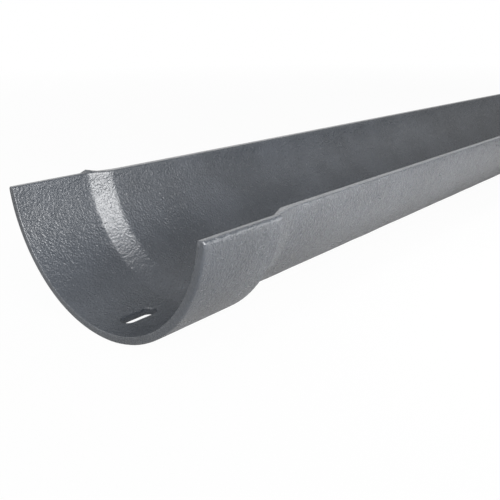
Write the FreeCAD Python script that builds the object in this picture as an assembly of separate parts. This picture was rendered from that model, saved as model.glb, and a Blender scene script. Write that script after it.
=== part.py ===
"""Half-round cast iron rainwater gutter: one length with a socket at one end.

The gutter is one casting, open at the top. Its trough is an arc of a circle,
a little shallower than a semicircle. One end is a plain spigot. The other is
opened out into a socket that the next length's spigot lies in, on a bed of
sealant, and one bolt through the bottom holds the two together.

Frame: X runs along the gutter from the socket's mouth to the spigot, with
X = 0 half way, Y across it and Z up. The bottom of the socket is at Z = 0.
"""

import FreeCAD, Part
import math
import os

# --- Driving dimensions, in millimetres -------------------------------------

# Trough
nominal_width = 115.0        # clear width between the inner edges of the rims
rim_below_centre = 7.0       # the rims stop this far below the circle's centre
trough_wall = 4.5
effective_length = 1830.0    # what one length adds to a run

# Socket
socket_depth = 44.0          # how far the next spigot goes in
socket_wall = 4.2
sealant_gap = 0.6            # between a spigot and the socket's bore
socket_outer_length = 46.0

# Shoulder between the socket and the trough
seat_taper = 11.0            # length over which the bore narrows to the trough
shoulder_step = 2.0          # drop of the outside straight behind the socket
shoulder_taper = 14.0        # length over which the outside narrows to the trough

# Joint bolt
slot_length = 20.0
slot_width = 8.0
slot_centre = 21.5           # from the socket's mouth
bolt_hole_diameter = 8.0

# Nib on one rim, the broken-off stub of the runner that fed the mould
nib_start = 40.5             # from the socket's mouth, like the next two
nib_peak = 44.5
nib_end = 50.0
nib_height = 1.1
nib_inset = 0.6              # from the rim's inner edge at the socket
nib_width = 3.1

# Rounding of the cast edges
socket_edge_radius = 1.7     # outside, along the socket's rims and round its mouth
trough_edge_radius = 0.6     # outside, behind the socket and round the spigot end
inner_edge_radius = 0.8

# --- Worked out --------------------------------------------------------------

trough_inner_radius = math.hypot(nominal_width / 2, rim_below_centre)
trough_outer_radius = trough_inner_radius + trough_wall
socket_inner_radius = trough_outer_radius + sealant_gap
socket_outer_radius = socket_inner_radius + socket_wall

overall_length = effective_length + socket_depth
mouth_x = -overall_length / 2
spigot_x = overall_length / 2
socket_seat_x = mouth_x + socket_depth
socket_back_x = mouth_x + socket_outer_length
shoulder_end_x = socket_back_x + shoulder_taper

centre_height = socket_outer_radius
rim_height = centre_height - rim_below_centre

# The wall's two faces, as (x, radius) round the long axis
bore_line = [
    (mouth_x, socket_inner_radius),
    (socket_seat_x, socket_inner_radius),
    (socket_seat_x + seat_taper, trough_inner_radius),
    (spigot_x, trough_inner_radius),
]
skin_line = [
    (mouth_x, socket_outer_radius),
    (socket_back_x, socket_outer_radius),
    (socket_back_x, socket_outer_radius - shoulder_step),
    (shoulder_end_x, trough_outer_radius),
    (spigot_x, trough_outer_radius),
]


def turned_trough():
    """The wall's long section swept half a turn under the long axis."""
    outline = bore_line + skin_line[::-1]
    corners = [FreeCAD.Vector(x, 0, centre_height - radius) for x, radius in outline]
    section = Part.Face(Part.makePolygon(corners + corners[:1]))
    axis_point = FreeCAD.Vector(0, 0, centre_height)
    along = FreeCAD.Vector(1, 0, 0)
    section.rotate(axis_point, along, -90)
    return section.revolve(axis_point, along, 180)


def space_above_rims():
    """All that is cut off above the level of the rims."""
    past_end = 10.0
    half_width = socket_outer_radius + past_end
    corner = FreeCAD.Vector(mouth_x - past_end, -half_width, rim_height)
    return Part.makeBox(overall_length + 2 * past_end, 2 * half_width, past_end + rim_below_centre, corner)


def rim_nib():
    """The wall's outer part left a little proud over a short stretch of one rim."""
    below_rim = rim_height - socket_edge_radius
    outline = [
        (mouth_x + nib_start, below_rim),
        (mouth_x + nib_start, rim_height),
        (mouth_x + nib_peak, rim_height + nib_height),
        (mouth_x + nib_end, rim_height),
        (mouth_x + nib_end, below_rim),
    ]
    inner_reach = math.sqrt(socket_inner_radius ** 2 - rim_below_centre ** 2) + nib_inset
    corners = [FreeCAD.Vector(x, inner_reach, z) for x, z in outline]
    side = Part.Face(Part.makePolygon(corners + corners[:1]))
    return side.extrude(FreeCAD.Vector(0, nib_width, 0)).common(turned_trough())


def radius_at(line, x):
    """Radius of one of the wall's faces at a place along the gutter."""
    for (x0, radius0), (x1, radius1) in zip(line, line[1:]):
        if x1 > x0 and x <= x1:
            return radius0 + (radius1 - radius0) * (x - x0) / (x1 - x0)
    return line[-1][1]


def edges_to_round(casting, line, start_x, end_x):
    """Edges of one face of the wall, along the rims and round the open ends."""
    other_line = skin_line if line is bore_line else bore_line
    chosen = []
    for edge in casting.Edges:
        ends = [vertex.Point for vertex in edge.Vertexes]
        reach = [point.x for point in ends]
        if min(reach) < start_x - 0.01 or max(reach) > end_x + 0.01:
            continue
        on_rim = all(point.z > rim_height - 0.01 for point in ends)
        along_rim = max(reach) - min(reach) > 0.2
        round_end = edge.Length > trough_inner_radius and abs(abs(reach[0]) - spigot_x) < 0.01
        if not on_rim or not (along_rim or round_end):
            continue
        radius = math.hypot(ends[0].y, ends[0].z - centre_height)
        miss = abs(radius - radius_at(line, reach[0]))
        if miss < abs(radius - radius_at(other_line, reach[0])):
            chosen.append(edge)
    return chosen


def slot_cutter(x):
    """Upright cutter for the round-ended slot, through the bottom at x."""
    radius = slot_width / 2
    below = FreeCAD.Vector(x, 0, -socket_wall)
    along = FreeCAD.Vector((slot_length - slot_width) / 2, 0, 0)
    across = FreeCAD.Vector(0, radius, 0)
    tip = FreeCAD.Vector(radius, 0, 0)
    sides = [
        Part.makeLine(below - along - across, below + along - across),
        Part.Arc(below + along - across, below + along + tip, below + along + across).toShape(),
        Part.makeLine(below + along + across, below - along + across),
        Part.Arc(below - along + across, below - along - tip, below - along - across).toShape(),
    ]
    return Part.Face(Part.Wire(sides)).extrude(FreeCAD.Vector(0, 0, 3 * socket_wall))


def hole_cutter(x):
    """Upright cutter for the round hole, through the bottom at x."""
    return Part.makeCylinder(bolt_hole_diameter / 2, rim_height, FreeCAD.Vector(x, 0, 0))


def half_round_gutter():
    casting = turned_trough().cut(space_above_rims())
    inner_edges = edges_to_round(casting, bore_line, mouth_x, spigot_x)
    casting = casting.makeFillet(inner_edge_radius, inner_edges)
    trough_edges = edges_to_round(casting, skin_line, socket_back_x, spigot_x)
    casting = casting.makeFillet(trough_edge_radius, trough_edges)
    socket_edges = edges_to_round(casting, skin_line, mouth_x, socket_back_x)
    casting = casting.makeFillet(socket_edge_radius, socket_edges)
    casting = casting.fuse(rim_nib()).removeSplitter()
    casting = casting.cut(slot_cutter(mouth_x + slot_centre))
    return casting.cut(hole_cutter(spigot_x - (socket_depth - slot_centre)))


os.makedirs("parts", exist_ok=True)
gutter = half_round_gutter()
gutter.exportStep("parts/half_round_gutter.step")
print("valid", gutter.isValid(), "solids", len(gutter.Solids), "volume mm3", round(gutter.Volume))
print("box", gutter.BoundBox)
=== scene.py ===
"""Looks of a half-round cast iron gutter length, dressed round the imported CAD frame.

Everything is in metres in the part's own frame: X along the gutter from the socket's
mouth to the spigot, Y across it, Z up, the socket's bottom on Z = 0.
"""

import math

import bmesh
import bpy
from mathutils import Matrix, Vector, noise


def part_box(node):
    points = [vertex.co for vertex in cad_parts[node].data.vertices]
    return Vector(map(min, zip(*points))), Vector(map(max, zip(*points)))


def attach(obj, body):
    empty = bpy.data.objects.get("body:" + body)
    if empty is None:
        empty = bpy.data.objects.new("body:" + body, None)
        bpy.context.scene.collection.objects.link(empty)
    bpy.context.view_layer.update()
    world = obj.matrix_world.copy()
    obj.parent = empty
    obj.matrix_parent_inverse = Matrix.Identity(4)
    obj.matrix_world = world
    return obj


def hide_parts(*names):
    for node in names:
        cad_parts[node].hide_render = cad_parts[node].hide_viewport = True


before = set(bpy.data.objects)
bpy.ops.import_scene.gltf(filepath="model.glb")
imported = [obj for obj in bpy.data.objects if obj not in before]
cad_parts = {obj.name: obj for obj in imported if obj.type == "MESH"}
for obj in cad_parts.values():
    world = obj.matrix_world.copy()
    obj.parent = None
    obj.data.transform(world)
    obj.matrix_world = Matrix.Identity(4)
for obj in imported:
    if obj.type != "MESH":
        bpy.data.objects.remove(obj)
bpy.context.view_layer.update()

# --- The casting --------------------------------------------------------------
# One sand casting in grey iron: trough, socket, shoulder and rims are one piece.
# It has an uneven skin from the sand, edges rounded as cast, and a nib on one rim
# where the runner was broken off. The bolt's slot and hole are cut through its bottom.

casting_low, casting_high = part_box("half_round_gutter")
mouth_x = casting_low.x
spigot_x = casting_high.x

nib_height = 0.0011
rim_height = casting_high.z - nib_height
rim_below_centre = 0.0070
axis_height = rim_height + rim_below_centre
socket_outer_radius = axis_height
socket_inner_radius = socket_outer_radius - 0.0042
trough_outer_radius = socket_inner_radius - 0.0006
trough_inner_radius = trough_outer_radius - 0.0045
middle_radius = (trough_inner_radius + trough_outer_radius) / 2

seat_x = mouth_x + 0.044
bore_end_x = seat_x + 0.011
socket_back_x = mouth_x + 0.046
shoulder_end_x = socket_back_x + 0.014
shoulder_radius = socket_outer_radius - 0.0020

socket_edge_radius = 0.0017
trough_edge_radius = 0.0006
inner_edge_radius = 0.0008
back_edge_radius = 0.0005
mouth_outer_radius = 0.0011
mouth_inner_radius = 0.0004


def rounding(size, distance):
    """How far a rounded edge falls back from its corner at a distance along the face."""
    if distance >= size:
        return 0.0
    return size - math.sqrt(size ** 2 - (size - max(0.0, distance)) ** 2)


def along(line, x):
    """Value at x on a line given by (x, value) corners."""
    for (x0, value0), (x1, value1) in zip(line, line[1:]):
        if x <= x1:
            return value0 + (value1 - value0) * max(0, x - x0) / (x1 - x0)
    return line[-1][1]


bore_line = [(mouth_x, socket_inner_radius), (seat_x, socket_inner_radius),
             (bore_end_x, trough_inner_radius), (spigot_x, trough_inner_radius)]
back_face_lean = 0.00015
skin_line = [(mouth_x, socket_outer_radius), (socket_back_x, socket_outer_radius),
             (socket_back_x + back_face_lean, shoulder_radius),
             (shoulder_end_x, trough_outer_radius), (spigot_x, trough_outer_radius)]
nib_line = [(mouth_x + 0.0405, 0), (mouth_x + 0.0445, 1), (mouth_x + 0.0500, 0)]


def stations():
    """Places along the gutter where its section changes, filled in with even steps."""
    step_in_socket = 0.0016
    step_in_trough = 0.0031
    past_shoulder_x = shoulder_end_x + 0.001
    marks = {mouth_x, spigot_x}
    for line in (bore_line, skin_line, nib_line):
        marks.update(x for x, value in line)
    for share in (0.08, 0.2, 0.45, 0.7, 1.0):
        marks.add(mouth_x + share * mouth_outer_radius)
        marks.add(spigot_x - share * trough_edge_radius)
    for share in (0.25, 0.6, 1.0):
        marks.add(mouth_x + share * mouth_inner_radius)
        marks.add(spigot_x - share * inner_edge_radius)
    for share in (0.15, 0.4, 0.7, 1.0):
        marks.add(socket_back_x - share * back_edge_radius)
    places = []
    ordered = sorted(marks)
    for start, end in zip(ordered, ordered[1:]):
        step = step_in_socket if end < past_shoulder_x else step_in_trough
        steps = max(1, round((end - start) / step))
        places += [start + (end - start) * index / steps for index in range(steps)]
    return places + [spigot_x]


def trough_section():
    """The trough cut square across: a strip of wall from rim to rim, edges rounded."""
    steps_a_side = 30
    rim_angle = math.asin(rim_below_centre / middle_radius)
    bm = bmesh.new()
    ends = [bm.verts.new((mouth_x, 0, axis_height - radius))
            for radius in (trough_inner_radius, trough_outer_radius)]
    bottom = bm.edges.new(ends)
    for side in (1, -1):
        bmesh.ops.spin(
            bm, geom=ends + [bottom], cent=(0, 0, axis_height), axis=(1, 0, 0),
            angle=side * (math.pi / 2 - rim_angle), steps=steps_a_side)
    bmesh.ops.remove_doubles(bm, verts=bm.verts, dist=1e-6)
    just_below_rims = max(vert.co.z for vert in bm.verts) - 0.001
    rims = [vert for vert in bm.verts if vert.co.z > just_below_rims]
    for vert in rims:
        radius = math.hypot(vert.co.y, vert.co.z - axis_height)
        reach = math.sqrt(radius ** 2 - rim_below_centre ** 2)
        vert.co.y = math.copysign(reach, vert.co.y)
        vert.co.z = rim_height
    for is_outer, size, segments in ((False, inner_edge_radius, 3), (True, socket_edge_radius, 5)):
        corners = [vert for vert in rims if vert.is_valid and
                   (math.hypot(vert.co.y, vert.co.z - axis_height) > middle_radius) == is_outer]
        bmesh.ops.bevel(bm, geom=corners, offset=size, segments=segments, profile=0.5,
                        affect="VERTICES", material=-1)
    return bm


def shape_to_station(vert):
    """Moves a vertex of the plain trough to the wall of its own place along the gutter."""
    rounded_height = rim_height - socket_edge_radius
    just_below_rounded = rim_height - socket_edge_radius * 1.05
    nib_sharpens_by = 0.6
    levelled_depth = 0.012

    x = vert.co.x
    from_mouth = x - mouth_x
    from_spigot = spigot_x - x
    in_socket = x < socket_back_x + 1e-6
    inner = along(bore_line, x) + rounding(mouth_inner_radius, from_mouth)
    inner += rounding(inner_edge_radius, from_spigot)
    outer = along(skin_line, x) - rounding(mouth_outer_radius, from_mouth)
    outer -= rounding(trough_edge_radius, from_spigot)
    if in_socket:
        outer -= rounding(back_edge_radius, socket_back_x - x)

    y, z = vert.co.y, vert.co.z - axis_height
    radius = math.hypot(y, z)
    nib = max(0.0, along(nib_line, x)) if y > 0 and radius > middle_radius else 0.0
    if radius > middle_radius and vert.co.z > just_below_rounded:
        corner_y = math.copysign(math.sqrt(trough_outer_radius ** 2 - rim_below_centre ** 2), y)
        size = (1 - nib_sharpens_by * nib) if in_socket else trough_edge_radius / socket_edge_radius
        y = corner_y + (y - corner_y) * size
        z = -rim_below_centre + (z + rim_below_centre) * size
        radius = math.hypot(y, z)
    share = (radius - trough_inner_radius) / (trough_outer_radius - trough_inner_radius)
    grown = (inner + share * (outer - inner)) / radius
    height = axis_height + z * grown
    near_rim = max(0.0, 1 - (rim_height - height) / levelled_depth)
    lift = rim_below_centre * (grown - 1)
    lift -= rounding(mouth_inner_radius, min(from_mouth, from_spigot)) / 2
    vert.co.y = y * grown
    vert.co.z = height + lift * near_rim ** 2 * (3 - 2 * near_rim)
    if vert.co.z > rounded_height:
        vert.co.z += nib * nib_height


def cast_skin(bm):
    """Sinks the faces by a slow, uneven amount, as sand leaves them."""
    depth = 0.00022
    mean_share, wide_share, close_share = 0.5, 0.6, 0.4
    wide_waves_a_metre = 38
    close_waves_a_metre = 85
    apart = Vector((3, 7, 1))
    for vert in bm.verts:
        radius = math.hypot(vert.co.y, vert.co.z - axis_height)
        wide = noise.noise(vert.co * wide_waves_a_metre)
        close = noise.noise(vert.co * close_waves_a_metre + apart)
        share = mean_share + wide_share * wide + close_share * close
        sink = depth * min(1.0, max(0.0, share))
        wall_middle = (along(bore_line, vert.co.x) + along(skin_line, vert.co.x)) / 2
        change = sink / radius if radius < wall_middle else -sink / radius
        vert.co.y *= 1 + change
        vert.co.z = axis_height + (vert.co.z - axis_height) * (1 + change)


def cast_trough():
    bm = trough_section()
    places = stations()
    length = places[-1] - places[0]
    swept = bmesh.ops.extrude_face_region(bm, geom=bm.faces[:])["geom"]
    far_verts = [item for item in swept if isinstance(item, bmesh.types.BMVert)]
    bmesh.ops.translate(bm, verts=far_verts, vec=(length, 0, 0))
    long_edges = [edge for edge in bm.edges if edge.calc_length() > length / 2]
    bmesh.ops.subdivide_edges(bm, edges=long_edges, cuts=len(places) - 2)
    for vert in bm.verts:
        vert.co.x = places[round((vert.co.x - mouth_x) / length * (len(places) - 1))]
        shape_to_station(vert)
    cast_skin(bm)
    bmesh.ops.recalc_face_normals(bm, faces=bm.faces)
    return bm


bolt_radius = 0.004


def bolt_cutter(x, reach, top, lip):
    """Plug in the shape of a bolt's way, from the floor to the top of the wall it goes
    through, flared at both by the rounding of its lips."""
    corners = 32
    start_below = 0.003
    just_inside = 0.0001
    end_above = 0.004
    part_way = 0.35 * lip
    half_flare = rounding(lip, part_way)
    levels = [(-start_below, lip), (just_inside, lip), (part_way, half_flare), (lip, 0),
              (top - lip, 0), (top - part_way, half_flare), (top, lip), (top + end_above, lip)]
    half_step = Matrix.Rotation(math.pi / corners, 3, "Z")
    bm = bmesh.new()
    bmesh.ops.create_circle(bm, cap_ends=True, segments=corners, radius=bolt_radius,
                            matrix=half_step.to_4x4())
    bm.faces.ensure_lookup_table()
    plain = {vert: vert.co.copy() for vert in bm.verts}
    cap = bm.faces[0]
    for index, (height, flare) in enumerate(levels):
        if index:
            angles = [math.atan2(plain[vert].y, plain[vert].x) for vert in cap.verts]
            cap = bmesh.ops.extrude_discrete_faces(bm, faces=[cap])["faces"][0]
            for vert, angle in zip(cap.verts, angles):
                plain[vert] = bolt_radius * Vector((math.cos(angle), math.sin(angle), 0))
        for vert in cap.verts:
            spread = plain[vert] * (1 + flare / bolt_radius)
            side = math.copysign(reach, plain[vert].x)
            vert.co = (x + side + spread.x, spread.y, height)
    bmesh.ops.recalc_face_normals(bm, faces=bm.faces)
    return bm


def as_object(name, bm):
    mesh = bpy.data.meshes.new(name)
    bm.to_mesh(mesh)
    bm.free()
    thing = bpy.data.objects.new(name, mesh)
    bpy.context.scene.collection.objects.link(thing)
    return thing


socket_floor_height = axis_height - socket_inner_radius
hole_lip_height = axis_height - trough_inner_radius + 0.0001
slot_shape = bolt_cutter(x=mouth_x + 0.0215, reach=0.006, top=socket_floor_height, lip=0.0007)
hole_shape = bolt_cutter(x=spigot_x - 0.0225, reach=0.0, top=hole_lip_height, lip=0.0005)

casting = as_object("gutter_casting", cast_trough())
bolt_ways = [as_object("slot_cutter", slot_shape), as_object("hole_cutter", hole_shape)]
for cutter in bolt_ways:
    cut = casting.modifiers.new(cutter.name, "BOOLEAN")
    cut.operation = "DIFFERENCE"
    cut.solver = "EXACT"
    cut.object = cutter
depsgraph = bpy.context.evaluated_depsgraph_get()
bored_mesh = bpy.data.meshes.new_from_object(casting.evaluated_get(depsgraph))
casting.modifiers.clear()
casting.data = bored_mesh
bored_mesh.name = "gutter_casting"
for cutter in bolt_ways:
    bpy.data.objects.remove(cutter)

sharp_angle = math.radians(32)
for polygon in bored_mesh.polygons:
    polygon.use_smooth = True
bored_mesh.set_sharp_from_angle(angle=sharp_angle)

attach(casting, "root")
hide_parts("half_round_gutter")

# Grey gloss paint over the skin: it hides the finest grit and leaves the sand's pebbles.
paint = bpy.data.materials.new("grey_casting_paint")
paint.use_nodes = True
nodes, links = paint.node_tree.nodes, paint.node_tree.links
shader = nodes["Principled BSDF"]
shader.inputs["Coat Weight"].default_value = 0.8
shader.inputs["Coat Roughness"].default_value = 0.16

coords = nodes.new("ShaderNodeTexCoord")


def grain(scale, detail, roughness=0.5):
    """Noise in the casting's own metres, so that scale is in cells a metre."""
    texture = nodes.new("ShaderNodeTexNoise")
    texture.inputs["Scale"].default_value = scale
    texture.inputs["Detail"].default_value = detail
    texture.inputs["Roughness"].default_value = roughness
    links.new(coords.outputs["Object"], texture.inputs["Vector"])
    return texture.outputs["Fac"]


def remap(value, low, high, to_low, to_high):
    """Value stretched from one range to another, and held at its ends."""
    mapping = nodes.new("ShaderNodeMapRange")
    mapping.inputs["From Min"].default_value = low
    mapping.inputs["From Max"].default_value = high
    mapping.inputs["To Min"].default_value = to_low
    mapping.inputs["To Max"].default_value = to_high
    links.new(value, mapping.inputs["Value"])
    return mapping.outputs["Result"]


def bump_over(height, distance, below=None):
    """Normal bent by a height of up to the distance, on top of the normal below it."""
    bump = nodes.new("ShaderNodeBump")
    bump.inputs["Distance"].default_value = distance
    links.new(height, bump.inputs["Height"])
    if below is not None:
        links.new(below, bump.inputs["Normal"])
    return bump.outputs["Normal"]


swells = grain(scale=160, detail=2)
pebbles = grain(scale=750, detail=3, roughness=0.6)
grit = grain(scale=2400, detail=2)
patches = grain(scale=30, detail=4)

swollen_normal = bump_over(swells, distance=0.00035)
skin_normal = bump_over(pebbles, distance=0.0005, below=swollen_normal)
painted_normal = bump_over(grit, distance=0.00005, below=skin_normal)
links.new(painted_normal, shader.inputs["Normal"])
links.new(skin_normal, shader.inputs["Coat Normal"])

shade = nodes.new("ShaderNodeMix")
shade.data_type = "RGBA"
shade.inputs["A"].default_value = (0.026, 0.030, 0.036, 1)
shade.inputs["B"].default_value = (0.037, 0.042, 0.050, 1)
patch_share = remap(patches, low=0.35, high=0.65, to_low=0, to_high=1)
skin_roughness = remap(pebbles, low=0.3, high=0.7, to_low=0.36, to_high=0.24)
links.new(patch_share, shade.inputs["Factor"])
links.new(shade.outputs["Result"], shader.inputs["Base Color"])
links.new(skin_roughness, shader.inputs["Roughness"])
bored_mesh.materials.append(paint)

# --- Floor ----------------------------------------------------------------------
# A plain floor that the camera sees nearly white, and quite white further off. The
# light meets it as a middling grey. Near the gutter a little of that grey still shows,
# and with it a faint shadow of the gutter.
floor_reach = 40
bm = bmesh.new()
bmesh.ops.create_grid(bm, x_segments=1, y_segments=1, size=floor_reach)
floor_mesh = bpy.data.meshes.new("floor")
bm.to_mesh(floor_mesh)
bm.free()
floor = bpy.data.objects.new("floor", floor_mesh)
bpy.context.scene.collection.objects.link(floor)

floor_paint = bpy.data.materials.new("pale_floor")
floor_paint.use_nodes = True
nodes, links = floor_paint.node_tree.nodes, floor_paint.node_tree.links
nodes.clear()
out = nodes.new("ShaderNodeOutputMaterial")
matt = nodes.new("ShaderNodeBsdfDiffuse")
matt.inputs["Color"].default_value = (0.30, 0.30, 0.30, 1)
white = nodes.new("ShaderNodeEmission")
white.inputs["Color"].default_value = (1, 1, 1, 1)
mix = nodes.new("ShaderNodeMixShader")
path = nodes.new("ShaderNodeLightPath")
place = nodes.new("ShaderNodeTexCoord")
far_off = nodes.new("ShaderNodeVectorMath")
far_off.operation = "LENGTH"
fade = nodes.new("ShaderNodeMapRange")
fade.inputs["From Min"].default_value = 0.6
fade.inputs["From Max"].default_value = 2.0
fade.inputs["To Min"].default_value = 0.965
fade.inputs["To Max"].default_value = 1.0
share = nodes.new("ShaderNodeMath")
share.operation = "MULTIPLY"
links.new(place.outputs["Object"], far_off.inputs[0])
links.new(far_off.outputs["Value"], fade.inputs["Value"])
links.new(fade.outputs["Result"], share.inputs[1])
links.new(path.outputs["Is Camera Ray"], share.inputs[0])
links.new(share.outputs[0], mix.inputs[0])
links.new(matt.outputs[0], mix.inputs[1])
links.new(white.outputs[0], mix.inputs[2])
links.new(mix.outputs[0], out.inputs[0])
floor_mesh.materials.append(floor_paint)

# --- Light and camera --------------------------------------------------------------
# A pale room that is brighter towards +Y, with softboxes of one plain white. The key
# shines into the socket, two panels are mirrored in the far wall, a strip hangs over
# the floor along the near side, and two more light the mouth and the back from the left.
scene = bpy.context.scene
world = bpy.data.worlds.new("studio")
scene.world = world
world.use_nodes = True
nodes, links = world.node_tree.nodes, world.node_tree.links
nodes.clear()
out = nodes.new("ShaderNodeOutputWorld")
room = nodes.new("ShaderNodeBackground")
room.inputs["Color"].default_value = (1, 1, 1, 1)
backdrop = nodes.new("ShaderNodeBackground")
backdrop.inputs["Color"].default_value = (1, 1, 1, 1)
backdrop.inputs["Strength"].default_value = 1.0
direction = nodes.new("ShaderNodeTexCoord")
split = nodes.new("ShaderNodeSeparateXYZ")
side = nodes.new("ShaderNodeMapRange")
side.inputs["From Min"].default_value = 0.02
side.inputs["From Max"].default_value = 0.6
side.inputs["To Min"].default_value = 0.23
side.inputs["To Max"].default_value = 0.95
seen = nodes.new("ShaderNodeLightPath")
mix = nodes.new("ShaderNodeMixShader")
links.new(direction.outputs["Generated"], split.inputs["Vector"])
links.new(split.outputs["Y"], side.inputs["Value"])
links.new(side.outputs["Result"], room.inputs["Strength"])
links.new(seen.outputs["Is Camera Ray"], mix.inputs[0])
links.new(room.outputs[0], mix.inputs[1])
links.new(backdrop.outputs[0], mix.inputs[2])
links.new(mix.outputs[0], out.inputs[0])


def softbox(name, aim, azimuth, elevation, distance, width, height, radiance, spread=180):
    """Area light seen from the aim at an azimuth from -Y towards +X, and an elevation,
    both in degrees. A spread below 180 keeps its light in a narrower beam."""
    light = bpy.data.lights.new(name, "AREA")
    light.shape = "RECTANGLE"
    light.size = width
    light.size_y = height
    light.energy = radiance * math.pi * width * height
    light.spread = math.radians(spread)
    lamp = bpy.data.objects.new(name, light)
    scene.collection.objects.link(lamp)
    turn, rise = math.radians(azimuth), math.radians(elevation)
    away = Vector((math.sin(turn) * math.cos(rise), -math.cos(turn) * math.cos(rise), math.sin(rise)))
    lamp.location = Vector(aim) + away * distance
    lamp.rotation_euler = away.to_track_quat("Z", "Y").to_euler()


socket_middle = (mouth_x + 0.02, 0, rim_height)
mouth_middle = (mouth_x, 0, rim_height / 2)
trough_wall = (mouth_x + 0.31, 0.06, rim_height - 0.03)
near_floor = (mouth_x + 0.30, -0.13, 0)
softbox("key", aim=socket_middle, azimuth=-17, elevation=27, distance=1.2,
        width=0.85, height=1.1, radiance=13.5)
softbox("low_panel", aim=socket_middle, azimuth=37, elevation=3, distance=0.26,
        width=0.15, height=0.12, radiance=4.0)
softbox("side_panel", aim=trough_wall, azimuth=57.5, elevation=20, distance=1.0,
        width=0.13, height=0.8, radiance=2.0)
softbox("overhead", aim=near_floor, azimuth=0, elevation=89, distance=0.36,
        width=0.5, height=0.1, radiance=3.2, spread=50)
softbox("mouth_light", aim=mouth_middle, azimuth=-65, elevation=25, distance=0.9,
        width=0.4, height=0.4, radiance=9.0)
softbox("left_fill", aim=socket_middle, azimuth=-128, elevation=18, distance=1.0,
        width=1.0, height=0.7, radiance=0.9)

camera_data = bpy.data.cameras.new("camera")
camera = bpy.data.objects.new("camera", camera_data)
scene.collection.objects.link(camera)
camera_data.sensor_width = 36
camera_data.lens = 45.06
camera_data.clip_end = 100
camera_x = mouth_x - 0.1500
camera_y = -0.2158
camera_z = rim_height + 0.0703
yaw = math.radians(49.53)
pitch = math.radians(19.13)
camera.location = (camera_x, camera_y, camera_z)
camera.rotation_euler = (math.radians(90) - pitch, 0, -yaw)
scene.camera = camera

scene.view_settings.view_transform = "Standard"
